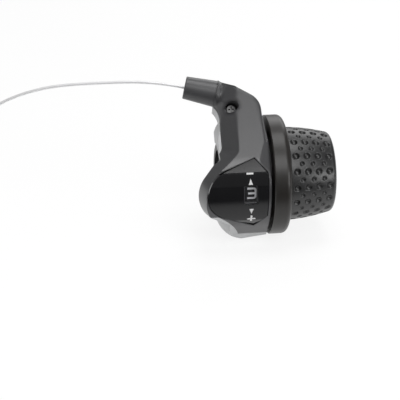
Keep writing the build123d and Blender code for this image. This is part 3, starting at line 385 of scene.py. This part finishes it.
def pale_floor():
    """The floor's material: white to the camera, with the object's shadow, and fading in mirrors."""
    material, tree, shader = nodes_of("pale_floor")
    ahead = part_of(tree, place_of(tree), "Y")
    fade = between(tree, ahead, 0.0, 1.0, FLOOR_DARK_Y, FLOOR_PALE_Y, "SMOOTHSTEP")
    ray = tree.nodes.new("ShaderNodeLightPath").outputs
    shown = combined(tree, "MAXIMUM", fade, ray["Is Camera Ray"])
    tree.links.new(colour_ramp(tree, shown, FLOOR_DARK, FLOOR_PALE, 0, 1), shader.inputs["Base Color"])
    shader.inputs["Roughness"].default_value = FLOOR_ROUGH
    shader.inputs["Specular IOR Level"].default_value = FLOOR_SPECULAR
    glow = add_node(tree, "ShaderNodeEmission", Strength=FLOOR_GLOW)
    mirrored = combined(tree, "MULTIPLY", ray["Is Glossy Ray"], fade)
    white = combined(tree, "MAXIMUM", ray["Is Camera Ray"], mirrored)
    share = combined(tree, "MULTIPLY", white, FLOOR_GLOW_SHARE)
    show_mix(tree, share, shader.outputs["BSDF"], glow.outputs["Emission"])
    return material


def add_floor():
    """A plain pale floor under the object."""
    mesh = bpy.data.meshes.new("floor")
    low = cad_box[0][2]
    corners = [(x * FLOOR_HALF, y * FLOOR_HALF, low) for x, y in ((-1, -1), (1, -1), (1, 1), (-1, 1))]
    mesh.from_pydata(corners, [], [(0, 1, 2, 3)])
    mesh.materials.append(pale_floor())
    floor = bpy.data.objects.new("floor", mesh)
    bpy.context.collection.objects.link(floor)


def add_surround():
    """A surround that is white in the picture and dimmer as a light."""
    world = bpy.data.worlds.new("studio")
    bpy.context.scene.world = world
    world.use_nodes = True
    tree = world.node_tree
    sky = tree.nodes["Background"]
    sky.inputs["Color"].default_value = (1, 1, 1, 1)
    seen = tree.nodes.new("ShaderNodeLightPath").outputs["Is Camera Ray"]
    tree.links.new(between(tree, seen, SKY_LIGHT, SKY_SHOWN), sky.inputs["Strength"])


def add_lamp(name, direction, distance, size, power):
    """A soft square lamp that faces the object."""
    lamp = bpy.data.objects.new(name, bpy.data.lights.new(name, "AREA"))
    lamp.data.size = size
    lamp.data.energy = power
    towards = Vector(direction).normalized()
    lamp.location = Vector(LAMP_AIM) + towards * distance
    lamp.rotation_euler = towards.to_track_quat("Z", "Y").to_euler()
    bpy.context.collection.objects.link(lamp)


def coil_points():
    """The coil's turns, laid beside and on each other, from the outermost low turn to the top."""
    points = []
    turns = COIL_COLUMNS * COIL_LAYERS
    for index in range(turns * COIL_POINTS - COIL_POINTS // 2):
        turn = index // COIL_POINTS
        layer = turn // COIL_COLUMNS
        column = turn % COIL_COLUMNS
        if layer % 2:
            column = COIL_COLUMNS - 1 - column
        angle = math.radians(90 + 360 * index / COIL_POINTS)
        radius = COIL_OUTER_R_MM - column * COIL_STEP_MM
        points.append((
            COIL_CENTRE_MM[0] + radius * math.cos(angle), COIL_CENTRE_MM[1] + radius * math.sin(angle),
            COIL_LOW_MM + layer * COIL_STEP_MM))
    return points


def add_cable(material):
    """The bare inner cable outside the nose, with its spare length coiled."""
    points = [*CABLE_ROUTE_MM, *coil_points(), CABLE_END_MM]
    curve = bpy.data.curves.new("inner_cable", "CURVE")
    curve.dimensions = "3D"
    curve.bevel_depth = CABLE_D / 2
    curve.bevel_resolution = CABLE_FACETS
    curve.resolution_u = CABLE_STEPS
    curve.use_fill_caps = True
    spline = curve.splines.new("NURBS")
    spline.points.add(len(points) - 1)
    for control, point in zip(spline.points, points):
        control.co = (*(Vector(point) * MM), 1)
    spline.order_u = CABLE_ORDER
    spline.use_endpoint_u = True
    curve.materials.append(material)
    cable = bpy.data.objects.new("inner_cable", curve)
    bpy.context.collection.objects.link(cable)
    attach(cable, "housing")
    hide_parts("cable_tail", "cable_coil")


def circle_through(a, b, c):
    """The centre and radius of the circle through three flat points."""
    (ax, ay), (bx, by), (cx, cy) = a, b, c
    d = 2 * (ax * (by - cy) + bx * (cy - ay) + cx * (ay - by))
    aa, bb, cc = ax * ax + ay * ay, bx * bx + by * by, cx * cx + cy * cy
    x = (aa * (by - cy) + bb * (cy - ay) + cc * (ay - by)) / d
    y = (aa * (cx - bx) + bb * (ax - cx) + cc * (bx - ax)) / d
    return x, y, math.hypot(ax - x, ay - y)


def grip_profile():
    """The grip's half section as (along the bar, radius), and how many of its points have dimples."""
    shoulder_x = GRIP_RIGHT - GRIP_SHOULDER
    x0, r0, radius = circle_through((GRIP_LEFT, GRIP_LEFT_R), GRIP_MID, (shoulder_x, GRIP_SHOULDER_R))
    outside = []
    for index in range(GRIP_STEPS + 1):
        x = GRIP_LEFT + (shoulder_x - GRIP_LEFT) * index / GRIP_STEPS
        outside.append((x, r0 + math.sqrt(radius * radius - (x - x0) ** 2)))
    rounding = []
    low_r = GRIP_SHOULDER_R - GRIP_SHOULDER
    for index in range(1, ROUNDING_STEPS + 1):
        a = math.radians(90 - 90 * index / ROUNDING_STEPS)
        rounding.append((shoulder_x + GRIP_SHOULDER * math.cos(a), low_r + GRIP_SHOULDER * math.sin(a)))
    return outside + rounding + [(GRIP_RIGHT, GRIP_BORE_R), (GRIP_LEFT, GRIP_BORE_R)], len(outside)


def dimple_depth(x, angle, radius):
    """How deep the dimples are at a point of the grip's outside."""
    row_step = 360 / DIMPLE_ROWS
    deepest = 0.0
    for offset, first, count, size in (
            (0.0, DIMPLE_FIRST_X, LARGE_DIMPLES, LARGE_DIMPLE_R),
            (0.5, DIMPLE_FIRST_X + DIMPLE_PITCH / 2, LARGE_DIMPLES - 1, SMALL_DIMPLE_R)):
        column = min(max(round((x - first) / DIMPLE_PITCH), 0), count - 1)
        along = x - first - column * DIMPLE_PITCH
        turn = (angle - DIMPLE_TURN) / row_step - offset
        across = (turn - round(turn)) * math.radians(row_step) * radius
        share = (along * along + across * across) / (size * size)
        if share < 1:
            deepest = max(deepest, DIMPLE_DEPTH * size / LARGE_DIMPLE_R * (1 - share) ** DIMPLE_POWER)
    return deepest


def add_grip(material):
    """The rubber grip with its round dimples."""
    profile, dimpled = grip_profile()
    points = []
    for row in range(GRIP_ROWS):
        angle = 360 * row / GRIP_ROWS
        for index, (x, radius) in enumerate(profile):
            depth = dimple_depth(x, angle, radius) if index < dimpled else 0
            points.append(section_point(x, angle, radius - depth))
    count = len(profile)
    faces = []
    for row in range(GRIP_ROWS):
        here = row * count
        there = (row + 1) % GRIP_ROWS * count
        for index in range(count):
            after = (index + 1) % count
            faces.append((here + index, here + after, there + after, there + index))
    grip = mesh_piece("dimpled_grip", points, faces, material, "grip")
    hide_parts("rubber_grip")
    edge = grip.modifiers.new("crisp_ends", "EDGE_SPLIT")
    edge.split_angle = math.radians(CRISP_DEG)


def lens_radius(angle):
    """The panel's radius at a section angle: round, with a flat facet at its top and at its bottom."""
    for middle in FACET_MIDDLES:
        if abs(angle - middle) < FACET_WEDGE:
            return LENS_R * math.cos(math.radians(FACET_WEDGE)) / math.cos(math.radians(angle - middle))
    return LENS_R


def ring_radius(_angle):
    """The number ring's radius, the same at every section angle."""
    return NUMBER_R


def ribbon(name, centre, radius_at, lines, width, material, body):
    """Flat strokes round the bar, each a list of (along the bar, round the bar) in mm from a centre."""
    radius = radius_at(centre[1])
    points = []
    faces = []
    for line in lines:
        start = len(points)
        for index, here in enumerate(line):
            before = Vector(line[max(index - 1, 0)])
            after = Vector(line[min(index + 1, len(line) - 1)])
            along = (after - before).normalized()
            side = Vector((-along.y, along.x)) * width / 2
            for way in (1, -1):
                spot = Vector(here) + side * way
                angle = centre[1] + math.degrees(spot.y / radius)
                for height in (-MARK_PROUD, MARK_PROUD):
                    points.append(section_point(centre[0] + spot.x, angle, radius_at(angle) + height))
        last = len(points) - 4
        for at in range(start, last, 4):
            faces += [(at + 1, at + 5, at + 7, at + 3), (at, at + 2, at + 6, at + 4)]
            faces += [(at, at + 4, at + 5, at + 1), (at + 2, at + 3, at + 7, at + 6)]
        faces += [(start, start + 1, start + 3, start + 2), (last, last + 2, last + 3, last + 1)]
    mesh_piece(name, points, faces, material, body, smooth=False)


def arc(centre, radius, start, end, steps=8):
    """Points along part of a circle."""
    angles = [math.radians(start + (end - start) * i / steps) for i in range(steps + 1)]
    return [(centre[0] + radius * math.cos(a), centre[1] + radius * math.sin(a)) for a in angles]


def straight(start, end, steps=6):
    """A straight stroke with enough points to follow the curve it lies on."""
    a, b = Vector(start), Vector(end)
    return [tuple(a.lerp(b, i / steps)) for i in range(steps + 1)]


def figure_lines(figure):
    """The strokes of 1, 2 or 3 about their middle, square with round corners."""
    half_h = (FIGURE_HEIGHT - FIGURE_STROKE) / 2
    half_w = (FIGURE_WIDTH - FIGURE_STROKE) / 2
    bend = FIGURE_STROKE
    if figure == 1:
        flag = straight((-half_w * ONE_FLAG_WIDTH, half_h * ONE_FLAG_FOOT), (0, half_h))
        return [straight((0, -half_h), (0, half_h)), flag]
    top_corner = arc((half_w - bend, half_h - bend), bend, 90, 0)
    if figure == 2:
        middle_corner = arc((half_w - bend, bend), bend, 0, -90)
        left_corner = arc((bend - half_w, -bend), bend, 90, 180)
        line = [(-half_w, half_h), *top_corner, *middle_corner, *left_corner, (-half_w, -half_h)]
        return [line, straight((-half_w, -half_h), (half_w, -half_h))]
    low_corner = arc((half_w - bend, bend - half_h), bend, 0, -90)
    spine = straight((half_w, half_h - bend), (half_w, bend - half_h))
    outside = [(-half_w, half_h), *top_corner, *spine, *low_corner, (-half_w, -half_h)]
    return [outside, straight((-half_w * THREE_BAR_START, 0), (half_w, 0))]


def arrow_lines(way):
    """An arrowhead as short strokes side by side, from its base to its tip."""
    lines = []
    for row in range(ARROW_ROWS):
        share = (row + 0.5) / ARROW_ROWS
        y = way * ARROW_HEIGHT * (share - 0.5)
        half = ARROW_WIDTH / 2 * (1 - share)
        lines.append([(-half, y), (0, y), (half, y)])
    return lines


def plus_lines():
    """A plus as one stroke along the bar, and one on each side of it."""
    gap = PLUS_WIDTH / 2
    along = straight((-PLUS_HALF_ALONG, 0), (PLUS_HALF_ALONG, 0))
    return [along, straight((0, -PLUS_HALF_ROUND), (0, -gap)), straight((0, gap), (0, PLUS_HALF_ROUND))]


def add_marks(material):
    """The white minus, plus and arrows on the panel."""
    row_width = ARROW_HEIGHT / ARROW_ROWS
    minus = [straight((-MINUS_HALF, 0), (MINUS_HALF, 0))]
    for name, place, lines, width in (
            ("minus_mark", MINUS_PLACE, minus, MINUS_WIDTH),
            ("plus_mark", PLUS_PLACE, plus_lines(), PLUS_WIDTH),
            ("up_arrow", UP_ARROW_PLACE, arrow_lines(1), row_width),
            ("down_arrow", DOWN_ARROW_PLACE, arrow_lines(-1), row_width)):
        ribbon(name, place, lens_radius, lines, width, material, "housing")


def add_figures(material):
    """The figures on the number ring, one for each click."""
    for figure in (3, 2, 1):
        name = f"figure_{figure}"
        place = (FIGURE_PLACE[0], FIGURE_PLACE[1] - (3 - figure) * CLICK)
        lines = figure_lines(figure)
        ribbon(name, place, ring_radius, lines, FIGURE_STROKE, material, "grip")


def paint_solids(wire):
    """Gives every CAD node its material."""
    dark_cover = moulded(
        "dark_cover", (0.052, 0.052, 0.055), spread=0.06, rough=0.3, grain_mm=0.22, grain_depth=0.02,
        specular=0.75, edge_mm=0.7, elbow_edge_mm=2.5)
    pale_cover = moulded(
        "pale_cover", (0.6, 0.605, 0.61), spread=0.04, rough=0.45, grain_mm=0.25, grain_depth=0.02,
        edge_mm=0.4)
    display_black = moulded(
        "display_black", (0.006, 0.006, 0.007), spread=0.1, rough=0.12, grain_mm=0.6, grain_depth=0.001,
        specular=0.42)
    black_moulding = moulded(
        "black_moulding", (0.022, 0.022, 0.023), spread=0.12, rough=0.45, grain_mm=0.25, grain_depth=0.02)
    number_black = moulded(
        "number_black", (0.008, 0.008, 0.008), spread=0.1, rough=0.4, grain_mm=0.3, grain_depth=0.01)
    collar_grey = moulded(
        "collar_grey", (0.0135, 0.0115, 0.0098), spread=0.06, rough=0.36, grain_mm=0.2, grain_depth=0.015)
    nose_black = moulded(
        "nose_black", (0.062, 0.062, 0.065), spread=0.06, rough=0.36, grain_mm=0.25, grain_depth=0.015,
        specular=0.55)
    pale_liner = moulded(
        "pale_liner", (0.7, 0.69, 0.66), spread=0.04, rough=0.4, grain_mm=0.3, grain_depth=0.01)
    black_band = moulded(
        "black_band", (0.03, 0.03, 0.03), spread=0.1, rough=0.6, grain_mm=0.3, grain_depth=0.02)
    plated_steel = metal("plated_steel", (0.62, 0.62, 0.62), rough=0.3, line_mm=0.3)
    dull_steel = metal("dull_steel", (0.17, 0.17, 0.17), rough=0.4, line_mm=0.3)
    cap_metal = metal("cap_metal", (0.75, 0.75, 0.76), rough=0.35, line_mm=0.2)
    paint(dark_cover, "front_cover")
    paint(pale_cover, "rear_cover")
    paint(display_black, "display_panel")
    paint(clear_pane(), "gear_window")
    paint(black_moulding, "bracket", "twist_drum")
    paint(number_black, "number_ring")
    paint(collar_grey, "grip_collar")
    paint(nose_black, "cable_nose")
    paint(pale_liner, "cable_guide")
    paint(black_band, "coil_tie")
    paint(plated_steel, "clamp_bolt", "clamp_nut", "retaining_ring", "thrust_washer", "detent_spring")
    paint(dull_steel, "cover_screw")
    paint(cap_metal, "cable_nipple", "cable_end")
    paint(wire, "cable_inside")


bpy.context.scene.view_settings.view_transform = "Standard"
add_camera()
add_floor()
add_surround()
for lamp_values in LAMPS:
    add_lamp(*lamp_values)

bright_wire = stranded_wire()
grip_rubber = moulded(
    "grip_rubber", (0.011, 0.011, 0.0115), spread=0.12, rough=0.34, grain_mm=0.18, grain_depth=0.02,
    specular=0.7)
white_mark = moulded(
    "white_mark", (0.8, 0.8, 0.8), spread=0.03, rough=0.5, grain_mm=0.2, grain_depth=0.005)
# The figures' white is lighter than the marks' white: painted light, making up for the shade that falls
# on the figures in the recess behind the pane.
painted_lit_figure_white = moulded(
    "painted_lit_figure_white", (0.93, 0.93, 0.93), spread=0.03, rough=0.5, grain_mm=0.2, grain_depth=0.005)
paint_solids(bright_wire)
add_cable(bright_wire)
add_grip(grip_rubber)
add_marks(white_mark)
add_figures(painted_lit_figure_white)
